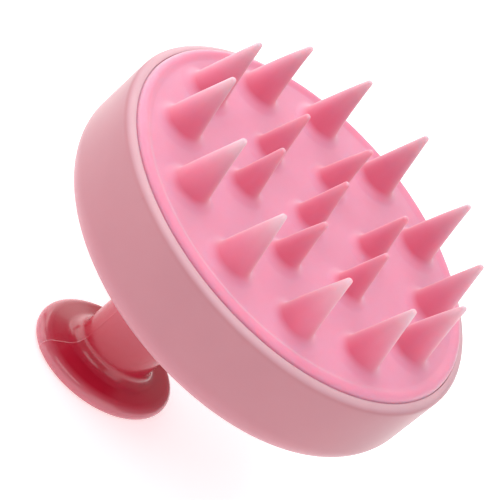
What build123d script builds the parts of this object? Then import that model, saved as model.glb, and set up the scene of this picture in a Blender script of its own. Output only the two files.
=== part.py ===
from build123d import *
from math import cos, radians, sin, tan
import os

# Scalp massager brush: a round cup with a mushroom handle under it and a soft face of
# cone-shaped bristles on top. The face and its stiff carrier pull straight off the cup.
#
# Frame, in millimetres: Z is the cup's axis with the bristles up. The origin is on that
# axis, level with the knob's flat end, which the brush stands on. The handle sits off the
# axis along -X, and the whole brush is the same on both sides of the XZ plane.

os.makedirs("parts", exist_ok=True)

# Cup
cup_diameter = 85.0
cup_wall = 1.9
cup_floor = 2.2
cup_back = 33.5          # height of the cup's outer floor
cup_rim = 54.3           # the rim's top, a little under the soft face
rim_round = 1.6
shoulder_round = 7.0

# Soft face
field_height = 55.0      # flat field between the bristles
skin = 2.0               # silicone over the carrier
bead_rise = 0.5          # raised edge above the field
bead_width = 2.7
bead_round = 1.25        # outer corner of the raised edge
edge_gap = 0.15          # groove between the soft edge and the cup
lip_drop = 1.2           # silicone under the carrier's edge
lip_reach = 2.2

# Bristles
bristle_slope = 13.7     # half angle of the cone, degrees
tip_radius = 0.64
foot_round = 2.4
foot_bite = 0.04         # how far the foot's curve dips under the field
outer_count = 12
outer_ring = 31.1
outer_tip = 70.0         # height of the tip ball's centre
outer_start = 15.0       # angle of the first bristle, degrees
inner_count = 6
inner_ring = 15.85
inner_tip = 66.4
middle_tip = 66.5

# Carrier, its sockets and the posts they push over
carrier_thickness = 2.2
carrier_edge = 2.1       # silicone outside the carrier
post_count = 4
post_ring = 24.0
post_radius = 2.5
post_top = 48.8
socket_wall = 1.7
socket_mouth = 42.0
socket_clearance = 0.04
rib_count = 8
rib_thickness = 1.6
rib_depth = 4.5
seat_gap = 0.1

# Handle
handle_offset = 6.6
knob_half_length = 16.5
oval_ratio = 0.80        # half width over half length
knob_edge = 3.6          # thickness of the knob's round edge
knob_crown = 0.8         # rise of the knob's inner face towards the stem
knob_trim = 0.02         # cut off the knob's end to leave it truly flat
stem_half_length = 8.6
flare_round = 3.0
neck_round = 2.4
key_length = 9.0
key_width = 6.0
key_clearance = 0.05

# Handle screw and washer
screw_radius = 1.75
screw_length = 20.0
screw_clearance = 0.03
head_radius = 3.5
head_height = 2.4
drive_width = 0.9
drive_span = 4.2
drive_depth = 1.5
washer_radius = 6.5
washer_thickness = 1.0

# Worked out from the dimensions above
cup_radius = cup_diameter / 2
mouth_radius = cup_radius - cup_wall
floor_top = cup_back + cup_floor
face_radius = mouth_radius - edge_gap
carrier_radius = face_radius - carrier_edge
carrier_top = field_height - skin
carrier_bottom = carrier_top - carrier_thickness
lip_bottom = carrier_bottom - lip_drop
seat_height = lip_bottom - seat_gap
washer_top = floor_top + washer_thickness


def outline(points, rounds=()):
    """A flat outline in the radius-height plane, with the named corners rounded."""
    shape = Polygon(*points, align=None)
    for corner, radius in rounds:
        shape = fillet(shape.vertices().sort_by_distance(corner)[0], radius)
    return shape


def turned(shape):
    """The solid that an outline sweeps round the Z axis."""
    return revolve(Plane.XZ * shape, Axis.Z)


def upright(radius, low, high):
    """A round bar on the Z axis between two heights."""
    return Pos(0, 0, low) * Cylinder(radius, high - low, align=(Align.CENTER, Align.CENTER, Align.MIN))


def around(count, radius, start=0.0):
    """Places evenly spaced round the Z axis."""
    return [Rot(0, 0, start + 360 / count * i) * Pos(radius, 0, 0) for i in range(count)]


def key_bar(clearance, low, high):
    """The bar with round ends that keys the handle into the cup's floor."""
    section = SlotOverall(key_length + 2 * clearance, key_width + 2 * clearance)
    return Pos(-handle_offset, 0, low) * extrude(section, high - low)


def bristle(tip_height):
    """One bristle on the Z axis: ball tip, straight cone, rounded foot and a hidden root."""
    slope = radians(bristle_slope)
    out, up = cos(slope), sin(slope)
    base_radius = tip_radius / out + (tip_height - field_height) * tan(slope)
    foot_x = base_radius + foot_round * (1 - up) / out
    foot_z = field_height + foot_round - foot_bite
    tip_turn = radians(45 + bristle_slope / 2)
    foot_turn = radians(225 + bristle_slope / 2)
    tip_end = (tip_radius * out, tip_height + tip_radius * up)
    tip_middle = (tip_radius * cos(tip_turn), tip_height + tip_radius * sin(tip_turn))
    cone_end = (foot_x - foot_round * out, foot_z - foot_round * up)
    foot_middle = (foot_x + foot_round * cos(foot_turn), foot_z + foot_round * sin(foot_turn))
    root = field_height - skin / 2
    edges = [
        ThreePointArc((0, tip_height + tip_radius), tip_middle, tip_end),
        Line(tip_end, cone_end),
        ThreePointArc(cone_end, foot_middle, (foot_x, foot_z - foot_round)),
        Polyline((foot_x, foot_z - foot_round), (foot_x, root), (0, root), (0, tip_height + tip_radius)),
    ]
    return turned(make_face(Curve() + edges))


def housing_shell():
    """The cup, with seat ribs inside its wall and posts on its floor."""
    body = outline(
        [(0, cup_back), (cup_radius, cup_back), (cup_radius, cup_rim), (0, cup_rim)],
        [((cup_radius, cup_back), shoulder_round), ((cup_radius, cup_rim), rim_round)],
    )
    hollow = outline(
        [(0, floor_top), (mouth_radius, floor_top), (mouth_radius, cup_rim + 1), (0, cup_rim + 1)],
        [((mouth_radius, floor_top), shoulder_round - cup_wall)],
    )
    cup = turned(body - hollow)
    rib_height = seat_height - cup_back - cup_floor / 2
    rib = Pos(mouth_radius - rib_depth / 2 + cup_wall / 4, 0, seat_height - rib_height / 2)
    rib *= Box(rib_depth + cup_wall / 2, rib_thickness, rib_height)
    envelope = turned(body)
    for i in range(rib_count):
        cup += (Rot(0, 0, 360 / rib_count * (i + 0.5)) * rib) & envelope
    post = upright(post_radius, floor_top - cup_floor / 2, post_top)
    post = chamfer(post.edges().sort_by(Axis.Z)[-1], 0.5)
    for place in around(post_count, post_ring):
        cup += place * post
    return cup - key_bar(key_clearance, cup_back - 1, floor_top + 1)


def grip_handle():
    """The handle: an oval knob with a full round edge, a stem and a key on its top."""
    edge_round = knob_edge / 2 * 0.99
    half = outline(
        [
            (0, -knob_trim),
            (knob_half_length, -knob_trim),
            (knob_half_length, knob_edge),
            (stem_half_length, knob_edge + knob_crown),
            (stem_half_length, cup_back),
            (0, cup_back),
        ],
        [
            ((knob_half_length, -knob_trim), edge_round),
            ((knob_half_length, knob_edge), edge_round),
            ((stem_half_length, knob_edge + knob_crown), flare_round),
        ],
    )
    neck = outline(
        [
            (0, cup_back - neck_round),
            (stem_half_length, cup_back - neck_round),
            (stem_half_length + neck_round, cup_back),
            (0, cup_back),
        ]
    )
    round_handle = turned(half + neck)
    handle = Pos(-handle_offset, 0, 0) * scale(round_handle, by=(1, oval_ratio, 1))
    handle -= Pos(-handle_offset, 0, -1) * Box(4 * knob_half_length, 4 * knob_half_length, 2)
    handle += key_bar(0, cup_back - 1, floor_top - seat_gap)
    bore = upright(screw_radius + screw_clearance, washer_top - screw_length - 1, floor_top + 1)
    return handle - Pos(-handle_offset, 0, 0) * bore


def handle_screw():
    """The pan-head screw that pulls the handle against the cup's floor."""
    point = outline(
        [
            (0, washer_top - screw_length),
            (screw_radius, washer_top - screw_length + 2 * screw_radius),
            (screw_radius, washer_top),
            (head_radius, washer_top),
            (head_radius, washer_top + head_height),
            (0, washer_top + head_height),
        ],
        [((head_radius, washer_top + head_height), head_height / 2)],
    )
    screw = turned(point)
    slot_height = washer_top + head_height - drive_depth / 2
    for turn in (0, 90):
        screw -= Pos(0, 0, slot_height) * Rot(0, 0, turn) * Box(drive_span, drive_width, drive_depth)
    return Pos(-handle_offset, 0, 0) * screw


def handle_washer():
    """The washer that bridges the key's slot under the screw head."""
    ring = upright(washer_radius, floor_top, washer_top)
    ring = chamfer(ring.edges().group_by(Axis.Z)[-1], 0.2)
    return Pos(-handle_offset, 0, 0) * (ring - upright(screw_radius + 0.15, floor_top - 1, washer_top + 1))


def carrier_plate():
    """The stiff disc inside the soft face, with a socket for each post."""
    plate = upright(carrier_radius, carrier_bottom, carrier_top)
    socket = upright(post_radius + socket_wall, socket_mouth, carrier_bottom + carrier_thickness / 2)
    hole = upright(post_radius + socket_clearance, socket_mouth - 1, carrier_bottom)
    for place in around(post_count, post_ring):
        plate += place * socket
    for place in around(post_count, post_ring):
        plate -= place * hole
    return plate


def bristle_pad():
    """The soft face: a skin that wraps the carrier's edge, and every bristle, in one piece."""
    bead_top = field_height + bead_rise
    bead_foot = face_radius - bead_width
    profile = outline(
        [
            (0, field_height),
            (bead_foot, field_height),
            (bead_foot + bead_width / 3, bead_top),
            (face_radius, bead_top),
            (face_radius, lip_bottom),
            (carrier_radius - lip_reach, lip_bottom),
            (carrier_radius - lip_reach, carrier_bottom),
            (carrier_radius, carrier_bottom),
            (carrier_radius, carrier_top),
            (0, carrier_top),
        ],
        [
            ((face_radius, bead_top), bead_round),
            ((bead_foot + bead_width / 3, bead_top), 1.2),
            ((bead_foot, field_height), 1.5),
        ],
    )
    bristles = [bristle(middle_tip)]
    bristles += [place * bristle(inner_tip) for place in around(inner_count, inner_ring)]
    bristles += [place * bristle(outer_tip) for place in around(outer_count, outer_ring, outer_start)]
    return turned(profile) + bristles


pieces = {
    "housing_shell": housing_shell(),
    "grip_handle": grip_handle(),
    "handle_screw": handle_screw(),
    "handle_washer": handle_washer(),
    "carrier_plate": carrier_plate(),
    "bristle_pad": bristle_pad(),
}
for name, piece in pieces.items():
    export_step(piece, f"parts/{name}.step")
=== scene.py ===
import math
import random

import bmesh
import bpy
from mathutils import Matrix, Vector, geometry, noise


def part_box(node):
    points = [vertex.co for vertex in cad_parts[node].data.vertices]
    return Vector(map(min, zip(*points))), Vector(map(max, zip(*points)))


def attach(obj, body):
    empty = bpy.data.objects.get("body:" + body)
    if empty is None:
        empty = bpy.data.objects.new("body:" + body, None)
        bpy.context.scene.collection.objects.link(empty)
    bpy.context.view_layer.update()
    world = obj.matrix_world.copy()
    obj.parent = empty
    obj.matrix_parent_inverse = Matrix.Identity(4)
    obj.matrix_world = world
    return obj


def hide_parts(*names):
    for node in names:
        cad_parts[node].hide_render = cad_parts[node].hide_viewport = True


# Scalp massager brush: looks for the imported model. Everything is in metres, in the row's
# frame: Z up along the cup's axis, the knob's flat end on the floor.

MM = 0.001
SHARP_ANGLE = 40.0           # degrees; edges that turn more than this shade as corners
SOFT_SHARP_ANGLE = 50.0      # the same on the soft face
TOUCHING = 0.0001 * MM       # vertices closer than this are one

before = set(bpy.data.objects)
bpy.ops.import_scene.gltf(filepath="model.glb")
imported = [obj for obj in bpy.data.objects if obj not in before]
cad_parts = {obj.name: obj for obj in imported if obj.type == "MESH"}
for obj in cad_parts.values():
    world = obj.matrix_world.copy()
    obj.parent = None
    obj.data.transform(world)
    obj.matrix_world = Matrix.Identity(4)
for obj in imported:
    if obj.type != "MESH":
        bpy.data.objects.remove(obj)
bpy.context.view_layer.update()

# Places read from the frame
cup_low, cup_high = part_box("housing_shell")
pad_low, pad_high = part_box("bristle_pad")
knob_low, knob_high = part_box("grip_handle")
carrier_low, carrier_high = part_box("carrier_plate")
CUP_RADIUS = (cup_high.x - cup_low.x) / 2
CUP_BACK = cup_low.z
FACE_RADIUS = (pad_high.x - pad_low.x) / 2
LIP_BOTTOM = pad_low.z
CARRIER_RADIUS = (carrier_high.x - carrier_low.x) / 2
CARRIER_TOP = carrier_high.z
HANDLE_X = (knob_low.x + knob_high.x) / 2
KNOB_HALF_LENGTH = (knob_high.x - knob_low.x) / 2
OVAL = (knob_high.y - knob_low.y) / (knob_high.x - knob_low.x)
KEY_TOP = knob_high.z

# Cup
CUP_WALL = 1.9 * MM
CUP_FLOOR = 2.2 * MM
CUP_RIM = 54.3 * MM
RIM_ROUND = 1.6 * MM         # outer edge of the rim
LIP_ROUND = 0.15 * MM        # inner edge of the rim
SHOULDER_ROUND = 7.0 * MM
RIB_COUNT = 8
RIB_DEPTH = 4.5 * MM
RIB_THICKNESS = 1.6 * MM
POST_COUNT = 4
POST_RING = 24.0 * MM
POST_RADIUS = 2.5 * MM
POST_TOP = 48.8 * MM
POST_CHAMFER = 0.5 * MM
SEAT_GAP = 0.1 * MM          # between the seat ribs and the soft face's lip
RIM_SEAM_TURN = 199.5        # where the cup's mould closed, degrees from +X
KNOB_SEAM_TURN = 195.5       # the same for the handle's mould
KNOB_SEAM_LOW = 0.1 * MM     # its seam stops here, above the floor that the knob stands on
SEAM_HEIGHT = 0.05 * MM      # of the fine ridge that a mould's seam leaves
SEAM_HALF_WIDTH = 0.16 * MM

# Soft face
FIELD_HEIGHT = 55.0 * MM
CARRIER_THICKNESS = 2.2 * MM
LIP_REACH = 2.2 * MM
BEAD_RISE = 0.5 * MM         # the raised edge round the field
BEAD_WIDTH = 2.7 * MM
BEAD_ROUND = 1.25 * MM       # its outer corner
BEAD_RUN_UP = 0.3 * MM       # how much further in than its width it starts to rise
BEAD_STEPS = 12
SEAL_DEPTH = 0.2 * MM        # how far below the cup's lip the soft side swells to meet its wall
SEAL_SWELL = 0.1 * MM
SEAL_FADE = 1.0 * MM         # how far below that the swelling has died away
LIP_CORNER = 0.3 * MM        # rounding of the lip's lower corners
EDGE_SIDES = 192

# Mesh of the field between the bristles
FIELD_WAVE = 0.03 * MM       # how uneven the soft field is
FIELD_WAVE_SCALE = 60.0      # noise cells per metre
FIELD_WAVE_DEPTH = 0.3 * MM  # what lies deeper under the field stays even
FIELD_SPACING = 1.6 * MM     # between the field's vertices
TRIANGLE_ROW = 0.866         # row height of an even triangular grid, as a share of its spacing
FIELD_MARGIN = 0.5 * MM      # from those vertices to the bristles' feet and the field's edge
INSIDE_FOOT = 0.998          # a face whose middle is within this share of a foot is under it

# Bristles
BRISTLE_SLOPE = math.radians(13.7)   # half angle of the cone
TIP_RADIUS = 0.64 * MM
FOOT_ROUND = 2.4 * MM
OUTER_COUNT = 12
OUTER_RING = 31.1 * MM
OUTER_TIP = 70.0 * MM        # height of the tip ball's centre
OUTER_START = 15.0           # degrees
INNER_COUNT = 6
INNER_RING = 15.85 * MM
INNER_TIP = 66.4 * MM
MIDDLE_TIP = 66.5 * MM
BRISTLE_SIDES = 48
# How the tips lean. The sway was fitted to the tips in the photo. The wander, the growth and the
# seed were picked together out of thousands of draws, as those that came closest to the same
# tips, so they don't tell how any one bristle of the real brush leans. Most seeds fit no better
# than a plain grid.
TIP_WANDER = 0.7 * MM        # the most that a tip leans its own way
TIP_GROW = 0.012             # the most that a bristle is longer or shorter, as a share
TIP_SWAY = 0.33 * MM         # how far all the tips lean the same way
TIP_SWAY_TURN = -58.0        # degrees from +X
BRISTLE_SEED = 8569

# Handle
KNOB_EDGE = 3.6 * MM         # thickness of the knob's round edge
KNOB_CROWN = 0.8 * MM        # rise of the knob's inner face towards the stem
STEM_HALF_LENGTH = 8.6 * MM
FLARE_ROUND = 3.0 * MM
NECK_ROUND = 2.4 * MM
KEY_LENGTH = 9.0 * MM
KEY_WIDTH = 6.0 * MM
KEY_CLEARANCE = 0.05 * MM

# Camera
CAMERA_TURN = -38.96         # degrees round Z from the -Y side
CAMERA_RISE = 30.88
CAMERA_ROLL = 49.21
CAMERA_REACH = 0.5072        # from the point that it looks at
CAMERA_AIM = Vector((-0.00554, -0.00269, 0.04468))
CAMERA_LENS = 192.4          # millimetres, on a 36 mm sensor


# ---------------------------------------------------------------- mesh helpers

def arc(x, z, radius, start, end, steps):
    """Points along an arc in a flat plane, angles in degrees."""
    points = []
    for i in range(steps + 1):
        turn = math.radians(start + (end - start) * i / steps)
        points.append((x + radius * math.cos(turn), z + radius * math.sin(turn)))
    return points


def run(start, end, steps):
    """Evenly spaced points from start up to, but without, end."""
    (x0, z0), (x1, z1) = start, end
    return [(x0 + (x1 - x0) * i / steps, z0 + (z1 - z0) * i / steps) for i in range(steps)]


def even_turns(count):
    """Angles evenly spaced round the axis, in radians."""
    return [2 * math.pi * i / count for i in range(count)]


def ring(mesh, turns, radius, height):
    """A ring of vertices round the Z axis."""
    return [mesh.verts.new((radius * math.cos(t), radius * math.sin(t), height)) for t in turns]


def skin_rings(mesh, lower, upper):
    """Faces between two rings with the same number of vertices."""
    count = len(lower)
    for i in range(count):
        j = (i + 1) % count
        mesh.faces.new((lower[i], lower[j], upper[j], upper[i]))


def cap_ring(mesh, verts, height, upwards):
    """A fan of faces from a ring to a point on the axis."""
    tip = mesh.verts.new((0, 0, height))
    for i in range(len(verts)):
        a, b = verts[i], verts[(i + 1) % len(verts)]
        mesh.faces.new((a, b, tip) if upwards else (b, a, tip))


def lathe(mesh, profile, turns):
    """A closed surface from a profile that starts and ends on the Z axis."""
    rings = [ring(mesh, turns, r, z) for r, z in profile[1:-1]]
    for lower, upper in zip(rings, rings[1:]):
        skin_rings(mesh, lower, upper)
    cap_ring(mesh, rings[0], profile[0][1], False)
    cap_ring(mesh, rings[-1], profile[-1][1], True)


def finish_mesh(mesh, name, sharp=SHARP_ANGLE):
    """A smooth-shaded object from a bmesh, with outward normals."""
    bmesh.ops.remove_doubles(mesh, verts=mesh.verts, dist=TOUCHING)
    bmesh.ops.recalc_face_normals(mesh, faces=mesh.faces)
    data = bpy.data.meshes.new(name)
    mesh.to_mesh(data)
    mesh.free()
    data.shade_smooth()
    data.set_sharp_from_angle(angle=math.radians(sharp))
    piece = bpy.data.objects.new(name, data)
    bpy.context.scene.collection.objects.link(piece)
    return piece


def merged(target, tools, operation):
    """target united with, or cut by, each tool; the tools are removed."""
    for tool in tools:
        cut = target.modifiers.new("cut", "BOOLEAN")
        cut.operation = operation
        cut.solver = "EXACT"
        cut.object = tool
    graph = bpy.context.evaluated_depsgraph_get()
    result = bpy.data.meshes.new_from_object(target.evaluated_get(graph))
    target.modifiers.clear()
    target.data = result
    for tool in tools:
        bpy.data.objects.remove(tool)
    target.data.shade_smooth()
    target.data.set_sharp_from_angle(angle=math.radians(SHARP_ANGLE))
    return target


def bar(name, x, y, profile, segments=48):
    """A lathe-turned solid standing at a place."""
    mesh = bmesh.new()
    lathe(mesh, profile, even_turns(segments))
    bmesh.ops.translate(mesh, verts=mesh.verts, vec=(x, y, 0))
    return finish_mesh(mesh, name)


def key_bar(name, grow, low, high):
    """The bar with round ends that keys the handle into the cup's floor."""
    half_width = KEY_WIDTH / 2 + grow
    straight = (KEY_LENGTH - KEY_WIDTH) / 2
    mesh = bmesh.new()
    levels = []
    for height in (low, high):
        loop = arc(HANDLE_X + straight, 0, half_width, -90, 90, 32)
        loop += arc(HANDLE_X - straight, 0, half_width, 90, 270, 32)
        levels.append([mesh.verts.new((x, y, height)) for x, y in loop])
    skin_rings(mesh, *levels)
    mesh.faces.new(levels[0])
    mesh.faces.new(levels[1])
    return finish_mesh(mesh, name)


# ---------------------------------------------------------------- materials

def link(tree, source, output, target, socket):
    """A link from one node's output to another's input, each by name or number."""
    tree.links.new(source.outputs[output], target.inputs[socket])


def new_material(name):
    """A new material, its node tree and its main shader."""
    material = bpy.data.materials.new(name)
    material.use_nodes = True
    tree = material.node_tree
    return material, tree, tree.nodes["Principled BSDF"]


def set_inputs(made, values):
    """Set a node's inputs by name."""
    for name, value in values.items():
        made.inputs[name].default_value = value


def soft_noise(tree, coordinate, scale, detail):
    """Noise over the piece's own coordinates."""
    texture = tree.nodes.new("ShaderNodeTexNoise")
    set_inputs(texture, {"Scale": scale, "Detail": detail, "Roughness": 0.5})
    link(tree, coordinate, "Object", texture, "Vector")
    return texture


def ramp(tree, stops):
    """A colour ramp through (position, colour) stops."""
    made = tree.nodes.new("ShaderNodeValToRGB")
    elements = made.color_ramp.elements
    while len(elements) < len(stops):
        elements.new(0.5)
    for element, (position, colour) in zip(elements, stops):
        element.position = position
        element.color = (*colour, 1)
    return made


def height_share(tree, coordinate, low, high, most=1.0):
    """How far up a point is between two heights: 0 at the lower, the given most at the higher."""
    parts = tree.nodes.new("ShaderNodeSeparateXYZ")
    link(tree, coordinate, "Object", parts, "Vector")
    share = tree.nodes.new("ShaderNodeMapRange")
    set_inputs(share, {"From Min": low, "From Max": high, "To Max": most})
    link(tree, parts, "Z", share, "Value")
    return share


def mottled(tree, coordinate, colour_a, colour_b, scale):
    """Slow colour drift between two close colours, as moulded material has."""
    drift = soft_noise(tree, coordinate, scale, 3.0)
    blend = ramp(tree, [(0.35, colour_a), (0.65, colour_b)])
    link(tree, drift, "Fac", blend, "Fac")
    return blend


def colour_mix(tree, blend_type):
    """A Mix node for colours. Its colour sockets go by number: 6 and 7 in, 2 out."""
    mix = tree.nodes.new("ShaderNodeMix")
    mix.data_type = "RGBA"
    mix.blend_type = blend_type
    return mix


def multiplied(tree, first, second):
    """A Mix node that multiplies two colours."""
    mix = colour_mix(tree, "MULTIPLY")
    mix.inputs["Factor"].default_value = 1.0
    link(tree, first, "Color", mix, 6)
    link(tree, second, "Color", mix, 7)
    return mix


def fine_bump(tree, shader, coordinate, layers):
    """Bump from several noises, each a (scale, height in metres) pair."""
    last = None
    for scale, distance in layers:
        texture = soft_noise(tree, coordinate, scale, 2.0)
        bump = tree.nodes.new("ShaderNodeBump")
        set_inputs(bump, {"Strength": 1.0, "Distance": distance})
        link(tree, texture, "Fac", bump, "Height")
        if last:
            link(tree, last, "Normal", bump, "Normal")
        last = bump
    link(tree, last, "Normal", shader, "Normal")


def varied_roughness(tree, shader, coordinate, low, high, scale):
    """Roughness that drifts with handling and mould polish."""
    texture = soft_noise(tree, coordinate, scale, 2.0)
    spread = tree.nodes.new("ShaderNodeMapRange")
    set_inputs(spread, {"From Min": 0.2, "From Max": 0.8, "To Min": low, "To Max": high})
    link(tree, texture, "Fac", spread, "Value")
    link(tree, spread, "Result", shader, "Roughness")


# What the cup's colour is multiplied by, by height from its back to its rim: painted shade,
# darker towards the back and round the shoulder, and a painted highlight, paler at the rim.
CUP_PAINTED_LIGHT = [
    (0.0, (0.94, 0.80, 0.85)),
    (0.22, (0.97, 0.93, 0.95)),
    (0.40, (0.98, 0.97, 0.97)),
    (0.955, (0.98, 0.98, 0.98)),
    (0.985, (1.25, 1.65, 1.60)),
    (1.0, (1.32, 1.85, 1.75)),
]


def housing_material():
    """Satin pink plastic."""
    material, tree, shader = new_material("housing_gloss")
    coordinate = tree.nodes.new("ShaderNodeTexCoord")
    # painted shade towards the cup's back and a painted highlight at its rim, by height
    painted_light = ramp(tree, CUP_PAINTED_LIGHT)
    link(tree, height_share(tree, coordinate, CUP_BACK, CUP_RIM), "Result", painted_light, "Fac")
    colour = mottled(tree, coordinate, (0.49, 0.212, 0.25), (0.52, 0.228, 0.265), 40.0)
    link(tree, multiplied(tree, painted_light, colour), 2, shader, "Base Color")
    set_inputs(shader, {
        "Subsurface Weight": 0.25,
        "Subsurface Radius": (1.0, 0.45, 0.4),
        "Subsurface Scale": 0.0015,
        "IOR": 1.45,
        "Specular IOR Level": 0.15,
    })
    varied_roughness(tree, shader, coordinate, 0.28, 0.34, 30.0)
    fine_bump(tree, shader, coordinate, [(45.0, 0.00006), (700.0, 0.000002)])
    return material


def knob_reach(tree, coordinate):
    """Distance from the handle's axis as a share of the knob's oval, 1 at its outline."""
    offset = tree.nodes.new("ShaderNodeVectorMath")
    offset.operation = "SUBTRACT"
    offset.inputs[1].default_value = (HANDLE_X, 0, 0)
    link(tree, coordinate, "Object", offset, 0)
    spread = tree.nodes.new("ShaderNodeVectorMath")
    spread.operation = "MULTIPLY"
    spread.inputs[1].default_value = (1 / KNOB_HALF_LENGTH, 1 / (KNOB_HALF_LENGTH * OVAL), 0)
    link(tree, offset, "Vector", spread, 0)
    reach = tree.nodes.new("ShaderNodeVectorMath")
    reach.operation = "LENGTH"
    link(tree, spread, "Vector", reach, 0)
    return reach


def handle_material():
    """Translucent red plastic, deep red; a painted highlight at the knob's edge and painted light by
    the cup.
    """
    material, tree, shader = new_material("handle_gloss")
    coordinate = tree.nodes.new("ShaderNodeTexCoord")
    reach = knob_reach(tree, coordinate)
    # painted highlight: paler towards the knob's round edge
    edge = ramp(tree, [(0.86, (0, 0, 0)), (0.97, (0.25, 0.25, 0.25)), (1.0, (0.5, 0.5, 0.5))])
    link(tree, reach, "Value", edge, "Fac")
    # painted light: paler up the stem towards the cup
    height = height_share(tree, coordinate, KNOB_EDGE * 2, CUP_BACK, 0.5)
    painted_light_share = tree.nodes.new("ShaderNodeMath")
    painted_light_share.operation = "MAXIMUM"
    link(tree, edge, "Color", painted_light_share, 0)
    link(tree, height, "Result", painted_light_share, 1)
    deep = mottled(tree, coordinate, (0.48, 0.008, 0.035), (0.52, 0.012, 0.045), 60.0)
    mix = colour_mix(tree, "MIX")
    link(tree, painted_light_share, "Value", mix, "Factor")
    link(tree, deep, "Color", mix, 6)
    # the pale colour of the painted highlight and the painted light
    mix.inputs[7].default_value = (0.66, 0.31, 0.38, 1)
    link(tree, mix, 2, shader, "Base Color")
    set_inputs(shader, {
        "Subsurface Weight": 0.5,
        "Subsurface Radius": (1.0, 0.3, 0.3),
        "Subsurface Scale": 0.003,
        "IOR": 1.5,
        "Specular IOR Level": 0.7,
        "Coat Weight": 0.25,
        "Coat Roughness": 0.06,
    })
    varied_roughness(tree, shader, coordinate, 0.18, 0.26, 120.0)
    fine_bump(tree, shader, coordinate, [(60.0, 0.00008), (900.0, 0.000002)])
    return material


# Silicone colour by height over the field, as a share of the tallest bristle: painted shade,
# deep low on the bristles, and painted light, paler over the field and towards the thin tips.
SILICONE_PAINTED_LIGHT = [
    (0.0, (0.77, 0.275, 0.41)),
    (0.04, (0.77, 0.265, 0.395)),
    (0.11, (0.74, 0.155, 0.26)),
    (0.40, (0.71, 0.19, 0.30)),
    (0.75, (0.67, 0.31, 0.40)),
    (1.0, (0.63, 0.50, 0.56)),
]


def silicone_material():
    """Soft pink silicone with a faint bloom."""
    material, tree, shader = new_material("silicone")
    coordinate = tree.nodes.new("ShaderNodeTexCoord")
    # painted shade low on the bristles and painted light on the field and the tips, by height
    painted_light = ramp(tree, SILICONE_PAINTED_LIGHT)
    link(tree, height_share(tree, coordinate, FIELD_HEIGHT, OUTER_TIP), "Result", painted_light, "Fac")
    drift = mottled(tree, coordinate, (0.97, 0.96, 0.96), (1.0, 1.0, 1.0), 70.0)
    link(tree, multiplied(tree, painted_light, drift), 2, shader, "Base Color")
    set_inputs(shader, {
        "Subsurface Weight": 1.0,
        "Subsurface Radius": (1.0, 0.2, 0.22),
        "Subsurface Scale": 0.0035,
        "IOR": 1.41,
        "Sheen Weight": 0.5,
        "Sheen Roughness": 0.5,
    })
    varied_roughness(tree, shader, coordinate, 0.42, 0.55, 150.0)
    fine_bump(tree, shader, coordinate, [(80.0, 0.00008), (1600.0, 0.000004)])
    return material


def carrier_material():
    """Matt pale plastic."""
    material, tree, shader = new_material("carrier_matte")
    coordinate = tree.nodes.new("ShaderNodeTexCoord")
    colour = mottled(tree, coordinate, (0.76, 0.55, 0.58), (0.80, 0.60, 0.62), 50.0)
    link(tree, colour, "Color", shader, "Base Color")
    varied_roughness(tree, shader, coordinate, 0.4, 0.55, 200.0)
    fine_bump(tree, shader, coordinate, [(2500.0, 0.000006)])
    return material


def steel_material():
    """Plated steel, a little brushed."""
    material, tree, shader = new_material("steel")
    coordinate = tree.nodes.new("ShaderNodeTexCoord")
    colour = mottled(tree, coordinate, (0.52, 0.52, 0.53), (0.62, 0.62, 0.62), 400.0)
    link(tree, colour, "Color", shader, "Base Color")
    shader.inputs["Metallic"].default_value = 1.0
    varied_roughness(tree, shader, coordinate, 0.22, 0.36, 900.0)
    fine_bump(tree, shader, coordinate, [(3000.0, 0.000003)])
    return material


def floor_material():
    """A white sweep with a weak glow of its own, as on a light table."""
    material, tree, shader = new_material("floor_pale")
    coordinate = tree.nodes.new("ShaderNodeTexCoord")
    colour = mottled(tree, coordinate, (0.93, 0.93, 0.93), (0.95, 0.95, 0.95), 3.0)
    link(tree, colour, "Color", shader, "Base Color")
    set_inputs(shader, {
        "Roughness": 0.9,
        "Specular IOR Level": 0.1,
        "Emission Color": (1, 1, 1, 1),
        "Emission Strength": 0.5,
    })
    return material


# ---------------------------------------------------------------- cup

def seam_turns(count, radius, seam):
    """Even angles, with more of them close to the mould seams at this radius."""
    turns = even_turns(count)
    for half in (0, 180):
        for step in (-2, -1, 0, 1, 2):
            turns.append(math.radians(seam + half) + step * SEAM_HALF_WIDTH / radius)
    return sorted(turn % (2 * math.pi) for turn in turns)


def raise_seam(mesh, seam, lowest):
    """The fine ridge where a mould's halves met, in a plane through the Z axis."""
    mesh.normal_update()
    turn = math.radians(seam)
    for vert in mesh.verts:
        across = abs(vert.co.x * math.sin(turn) - vert.co.y * math.cos(turn))
        off_axis = math.hypot(vert.co.x, vert.co.y) > MM
        if off_axis and vert.co.z > lowest and across < SEAM_HALF_WIDTH:
            vert.co += vert.normal * SEAM_HEIGHT * (1 - across / SEAM_HALF_WIDTH)


def seat_rib(name, mouth, floor_top, inner_round, turn):
    """A flat rib that stands on the cup's floor, follows its inner corner and carries the face."""
    sunk = CUP_WALL / 3
    top = LIP_BOTTOM - SEAT_GAP
    inside = mouth - RIB_DEPTH
    start = -math.degrees(math.acos((inner_round - RIB_DEPTH) / (inner_round + sunk)))
    side = [(inside, top)]
    side += arc(mouth - inner_round, floor_top + inner_round, inner_round + sunk, start, 0, 8)
    side += [(mouth + sunk, top)]
    mesh = bmesh.new()
    half = RIB_THICKNESS / 2
    near = [mesh.verts.new((x, -half, z)) for x, z in side]
    far = [mesh.verts.new((x, half, z)) for x, z in side]
    skin_rings(mesh, near, far)
    mesh.faces.new(near)
    mesh.faces.new(far)
    bmesh.ops.rotate(mesh, verts=mesh.verts, cent=(0, 0, 0), matrix=Matrix.Rotation(turn, 3, "Z"))
    return finish_mesh(mesh, name)


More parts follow.
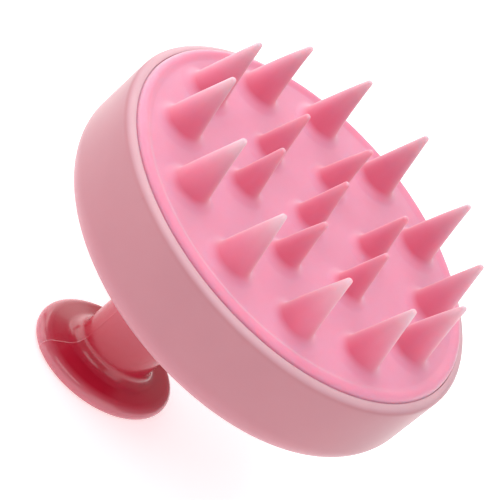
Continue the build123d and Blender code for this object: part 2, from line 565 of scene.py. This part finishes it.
def housing():
    """The cup, its rounded rim, its seat ribs and its posts, as one closed mesh."""
    mouth = CUP_RADIUS - CUP_WALL
    floor_top = CUP_BACK + CUP_FLOOR
    rim_x = CUP_RADIUS - RIM_ROUND
    rim_z = CUP_RIM - RIM_ROUND
    inner_round = SHOULDER_ROUND - CUP_WALL
    first_ring = CUP_RADIUS * 0.2
    profile = [(0.0, CUP_BACK)]
    profile += run((first_ring, CUP_BACK), (CUP_RADIUS - SHOULDER_ROUND, CUP_BACK), 6)
    profile += arc(CUP_RADIUS - SHOULDER_ROUND, CUP_BACK + SHOULDER_ROUND, SHOULDER_ROUND, -90, 0, 18)
    profile += run((CUP_RADIUS, CUP_BACK + SHOULDER_ROUND), (CUP_RADIUS, rim_z), 8)[1:]
    profile += arc(rim_x, rim_z, RIM_ROUND, 0, 90, 16)
    profile += arc(mouth + LIP_ROUND, CUP_RIM - LIP_ROUND, LIP_ROUND, 90, 180, 4)
    profile += run((mouth, CUP_RIM - 2 * LIP_ROUND), (mouth, floor_top + inner_round), 8)
    profile += arc(mouth - inner_round, floor_top + inner_round, inner_round, 0, -90, 12)
    profile += run((mouth - inner_round, floor_top), (first_ring, floor_top), 6)[1:]
    profile += [(first_ring, floor_top), (0.0, floor_top)]
    mesh = bmesh.new()
    lathe(mesh, profile, seam_turns(256, CUP_RADIUS, RIM_SEAM_TURN))
    raise_seam(mesh, RIM_SEAM_TURN, CUP_RIM - RIM_ROUND)
    cup = finish_mesh(mesh, "housing_shell_fine")
    tools = []
    for i in range(RIB_COUNT):
        turn = 2 * math.pi * (i + 0.5) / RIB_COUNT
        tools.append(seat_rib(f"rib_{i}", mouth, floor_top, inner_round, turn))
    for i in range(POST_COUNT):
        turn = 2 * math.pi * i / POST_COUNT
        post = [(0, floor_top - CUP_FLOOR / 2), (POST_RADIUS, floor_top - CUP_FLOOR / 2)]
        post += [(POST_RADIUS, POST_TOP - POST_CHAMFER), (POST_RADIUS - POST_CHAMFER, POST_TOP)]
        post += [(0, POST_TOP)]
        tools.append(bar(f"post_{i}", POST_RING * math.cos(turn), POST_RING * math.sin(turn), post))
    merged(cup, tools, "UNION")
    merged(cup, [key_bar("key_slot", KEY_CLEARANCE, CUP_BACK - MM, floor_top + MM)], "DIFFERENCE")
    return cup


# ---------------------------------------------------------------- handle

def handle():
    """The knob with its full round edge and crowned inner face, the stem and the key."""
    edge = KNOB_EDGE / 2
    flat = KNOB_HALF_LENGTH - edge
    slope = math.atan2(KNOB_CROWN, KNOB_HALF_LENGTH - STEM_HALF_LENGTH)
    tilt = math.degrees(slope)
    edge_top = (flat + edge * math.sin(slope), edge + edge * math.cos(slope))
    flare_x = STEM_HALF_LENGTH + FLARE_ROUND
    flare_foot = flare_x - FLARE_ROUND * math.sin(slope)
    flare_z = edge_top[1] + (edge_top[0] - flare_foot) * math.tan(slope) + FLARE_ROUND * math.cos(slope)
    neck_z = CUP_BACK - NECK_ROUND
    first_ring = KNOB_HALF_LENGTH * 0.3
    profile = [(0.0, 0.0)]
    profile += run((first_ring, 0.0), (flat, 0.0), 5)
    profile += arc(flat, edge, edge, -90, 90 - tilt, 24)
    flare = arc(flare_x, flare_z, FLARE_ROUND, -90 - tilt, -180, 16)
    profile += run(edge_top, flare[0], 8)[1:]
    profile += flare
    profile += run((STEM_HALF_LENGTH, flare_z), (STEM_HALF_LENGTH, neck_z), 10)[1:]
    profile += arc(STEM_HALF_LENGTH + NECK_ROUND, neck_z, NECK_ROUND, 180, 90, 8)
    profile += [(0.0, CUP_BACK)]
    mesh = bmesh.new()
    lathe(mesh, profile, seam_turns(192, KNOB_HALF_LENGTH, KNOB_SEAM_TURN))
    raise_seam(mesh, KNOB_SEAM_TURN, KNOB_SEAM_LOW)
    bmesh.ops.scale(mesh, verts=mesh.verts, vec=(1, OVAL, 1))
    bmesh.ops.translate(mesh, verts=mesh.verts, vec=(HANDLE_X, 0, 0))
    grip = finish_mesh(mesh, "grip_handle_fine")
    merged(grip, [key_bar("key", 0.0, CUP_BACK - MM, KEY_TOP)], "UNION")
    return grip


# ---------------------------------------------------------------- soft face

def bristle_places():
    """Where each bristle stands, and the height of its tip ball's centre."""
    places = [(0.0, 0.0, MIDDLE_TIP)]
    inner = (INNER_COUNT, INNER_RING, 0.0, INNER_TIP)
    outer = (OUTER_COUNT, OUTER_RING, OUTER_START, OUTER_TIP)
    for count, radius, start, tip in (inner, outer):
        for i in range(count):
            turn = math.radians(start + 360 * i / count)
            places.append((radius * math.cos(turn), radius * math.sin(turn), tip))
    return places


def foot_radius(tip):
    """Radius where a bristle's rounded foot meets the field."""
    base = TIP_RADIUS / math.cos(BRISTLE_SLOPE) + (tip - FIELD_HEIGHT) * math.tan(BRISTLE_SLOPE)
    return base + FOOT_ROUND * (1 - math.sin(BRISTLE_SLOPE)) / math.cos(BRISTLE_SLOPE)


def bristle_profile(tip):
    """The bristle from its foot's edge to the top of its tip, as radius and height."""
    slope = math.degrees(BRISTLE_SLOPE)
    foot = foot_radius(tip)
    curve = arc(foot, FIELD_HEIGHT + FOOT_ROUND, FOOT_ROUND, -90, -180 + slope, 10)
    ball = arc(0, tip, TIP_RADIUS, slope, 90, 7)
    return curve + run(curve[-1], ball[0], 12)[1:] + ball


def add_bristle(mesh, chooser, x, y, tip):
    """One bristle from the field up, a little uneven and bent, open where it meets the field."""
    first = len(mesh.verts)
    profile = bristle_profile(tip)
    turns = even_turns(BRISTLE_SIDES)
    loops = [ring(mesh, turns, radius, height) for radius, height in profile[:-1]]
    for lower, upper in zip(loops, loops[1:]):
        skin_rings(mesh, lower, upper)
    cap_ring(mesh, loops[-1], profile[-1][1], True)
    mesh.verts.ensure_lookup_table()
    lean = chooser.uniform(0, 2 * math.pi)
    wander = chooser.uniform(0.2, 1.0) * TIP_WANDER
    grow = 1 + chooser.uniform(-TIP_GROW, TIP_GROW)
    sway = math.radians(TIP_SWAY_TURN)
    shift_x = wander * math.cos(lean) + TIP_SWAY * math.cos(sway)
    shift_y = wander * math.sin(lean) + TIP_SWAY * math.sin(sway)
    for vert in mesh.verts[first:]:
        rise = (vert.co.z - FIELD_HEIGHT) / (tip - FIELD_HEIGHT)
        bend = rise * rise
        vert.co.z = FIELD_HEIGHT + (vert.co.z - FIELD_HEIGHT) * grow
        vert.co.x += x + shift_x * bend
        vert.co.y += y + shift_y * bend


def clear_of_bristles(spot, places, share=1.0, margin=0.0):
    """Whether a spot of the field is outside a share of each bristle's foot, plus a margin."""
    for x, y, tip in places:
        if (spot - Vector((x, y))).length <= foot_radius(tip) * share + margin:
            return False
    return True


def add_field(mesh, places, edge):
    """The flat field between the bristles' feet and the given edge, as small triangles."""
    points = []
    for x, y, tip in places:
        reach = foot_radius(tip)
        for turn in even_turns(BRISTLE_SIDES):
            points.append(Vector((x + reach * math.cos(turn), y + reach * math.sin(turn))))
    for turn in even_turns(EDGE_SIDES):
        points.append(Vector((edge * math.cos(turn), edge * math.sin(turn))))
    steps = int(edge / FIELD_SPACING) + 1
    for i in range(-steps, steps + 1):
        for j in range(-steps, steps + 1):
            across = (i + 0.5 * (j % 2)) * FIELD_SPACING
            spot = Vector((across, j * FIELD_SPACING * TRIANGLE_ROW))
            clear = clear_of_bristles(spot, places, margin=FIELD_MARGIN)
            if clear and spot.length < edge - FIELD_MARGIN:
                points.append(spot)
    flat, _, faces, *_ = geometry.delaunay_2d_cdt(points, [], [], 0, TOUCHING)
    verts = [mesh.verts.new((point.x, point.y, FIELD_HEIGHT)) for point in flat]
    for face in faces:
        middle = sum((flat[i] for i in face), Vector((0, 0))) / len(face)
        if clear_of_bristles(middle, places, share=INSIDE_FOOT):
            mesh.faces.new([verts[i] for i in face])


def edge_profile(field_edge):
    """From the field over the raised edge, down the side, round the lip and up to the carrier."""
    bead_top = FIELD_HEIGHT + BEAD_RISE
    bead_crest = FACE_RADIUS - BEAD_ROUND
    profile = [(field_edge, FIELD_HEIGHT)]
    for i in range(1, BEAD_STEPS):
        share = i / BEAD_STEPS
        rise = share * share * (3 - 2 * share)
        radius = field_edge + share * (bead_crest - field_edge)
        profile.append((radius, FIELD_HEIGHT + BEAD_RISE * rise))
    profile += arc(bead_crest, bead_top - BEAD_ROUND, BEAD_ROUND, 90, 0, BEAD_STEPS)
    seal = CUP_RIM - SEAL_DEPTH
    profile += arc(FACE_RADIUS, seal - SEAL_SWELL, SEAL_SWELL, 90, 0, 4)[1:]
    profile += run((FACE_RADIUS + SEAL_SWELL, seal - SEAL_FADE / 2), (FACE_RADIUS, seal - SEAL_FADE), 2)
    lip_z = LIP_BOTTOM + LIP_CORNER
    profile += run((FACE_RADIUS, seal - SEAL_FADE), (FACE_RADIUS, lip_z), 4)
    profile += arc(FACE_RADIUS - LIP_CORNER, lip_z, LIP_CORNER, 0, -90, 4)
    lip_inner = CARRIER_RADIUS - LIP_REACH
    profile += [(lip_inner + LIP_CORNER, LIP_BOTTOM)]
    profile += arc(lip_inner + LIP_CORNER, lip_z, LIP_CORNER, -90, -180, 4)[1:]
    carrier_bottom = CARRIER_TOP - CARRIER_THICKNESS
    profile += [(lip_inner, carrier_bottom), (CARRIER_RADIUS, carrier_bottom)]
    profile += [(CARRIER_RADIUS, CARRIER_TOP)]
    return profile


def soft_face():
    """The silicone moulding: bristles, field, raised edge, side and the lip under the carrier."""
    mesh = bmesh.new()
    chooser = random.Random(BRISTLE_SEED)
    places = bristle_places()
    field_edge = FACE_RADIUS - BEAD_WIDTH - BEAD_RUN_UP
    for x, y, tip in places:
        add_bristle(mesh, chooser, x, y, tip)
    add_field(mesh, places, field_edge)
    turns = even_turns(EDGE_SIDES)
    loops = [ring(mesh, turns, radius, height) for radius, height in edge_profile(field_edge)]
    for lower, upper in zip(loops, loops[1:]):
        skin_rings(mesh, lower, upper)
    cap_ring(mesh, loops[-1], CARRIER_TOP, False)
    for vert in mesh.verts:
        if vert.co.z > FIELD_HEIGHT - FIELD_WAVE_DEPTH:
            spot = Vector((vert.co.x, vert.co.y, 0))
            vert.co.z += FIELD_WAVE * noise.noise(spot * FIELD_WAVE_SCALE)
    return finish_mesh(mesh, "bristle_pad_fine", SOFT_SHARP_ANGLE)


# ---------------------------------------------------------------- stage

def floor():
    """The ground that the brush stands on, which isn't part of it."""
    mesh = bmesh.new()
    bmesh.ops.create_grid(mesh, x_segments=8, y_segments=8, size=4.0)
    ground = finish_mesh(mesh, "floor")
    ground.data.materials.append(floor_material())


def area_light(name, place, aim, size, power):
    """A square white panel that faces the aim; its size is in metres and its power in watts."""
    data = bpy.data.lights.new(name, "AREA")
    data.shape = "SQUARE"
    data.size = size
    data.energy = power
    lamp = bpy.data.objects.new(name, data)
    lamp.location = place
    lamp.rotation_euler = (Vector(aim) - Vector(place)).to_track_quat("-Z", "Y").to_euler()
    bpy.context.scene.collection.objects.link(lamp)


def camera_axes():
    """The camera's right, up and back directions, as a matrix's columns."""
    turn, rise = math.radians(CAMERA_TURN), math.radians(CAMERA_RISE)
    back = Vector((math.sin(turn) * math.cos(rise), -math.cos(turn) * math.cos(rise), math.sin(rise)))
    right = Vector((math.cos(turn), math.sin(turn), 0))
    up = back.cross(right)
    level = Matrix((right, up, back)).transposed()
    return level @ Matrix.Rotation(math.radians(CAMERA_ROLL), 3, "Z")


def camera():
    """The long lens of the photo, which looks down on the brush and is rolled to one side."""
    data = bpy.data.cameras.new("camera")
    data.lens = CAMERA_LENS
    data.sensor_width = 36.0
    data.clip_start = 0.01
    eye = bpy.data.objects.new("camera", data)
    axes = camera_axes()
    eye.matrix_world = Matrix.Translation(CAMERA_AIM + axes.col[2] * CAMERA_REACH) @ axes.to_4x4()
    bpy.context.scene.collection.objects.link(eye)
    bpy.context.scene.camera = eye


def lights():
    """Soft studio light: a pale sky and six white panels round the brush."""
    world = bpy.data.worlds.new("studio")
    world.use_nodes = True
    world.node_tree.nodes["Background"].inputs["Color"].default_value = (1, 1, 1, 1)
    world.node_tree.nodes["Background"].inputs["Strength"].default_value = 0.36
    bpy.context.scene.world = world
    aim = CAMERA_AIM

    def place(turn, rise):
        """A point a metre from the brush, turned from the camera's side and raised, in degrees."""
        turn, rise = math.radians(CAMERA_TURN + turn), math.radians(rise)
        level = math.cos(rise)
        return aim + Vector((math.sin(turn) * level, -math.cos(turn) * level, math.sin(rise)))

    area_light("key", place(-135, 50), aim, 0.6, 2.1)
    area_light("rim", place(-148, 14), aim, 0.8, 2.8)
    area_light("left", place(-90, 12), aim, 0.9, 4.2)
    area_light("front", place(0, 50), aim, 0.8, 3.0)
    area_light("right", place(60, 15), aim, 0.6, 0.9)
    area_light("top", place(0, 90), aim, 0.5, 4.2)
    bpy.context.scene.view_settings.view_transform = "Standard"


# ---------------------------------------------------------------- assembly

def stand_for(piece, cad_node, body, material):
    """The piece takes a CAD node's place and moves with its body."""
    piece.data.materials.clear()
    piece.data.materials.append(material)
    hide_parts(cad_node)
    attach(piece, body)


def paint(cad_node, material):
    """A CAD node keeps its shape and gets its finished material."""
    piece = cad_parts[cad_node]
    piece.data.materials.clear()
    piece.data.materials.append(material)


camera()
lights()
floor()
stand_for(housing(), "housing_shell", "handle_body", housing_material())
stand_for(handle(), "grip_handle", "handle_body", handle_material())
stand_for(soft_face(), "bristle_pad", "brush_face", silicone_material())
steel = steel_material()
paint("handle_screw", steel)
paint("handle_washer", steel)
paint("carrier_plate", carrier_material())
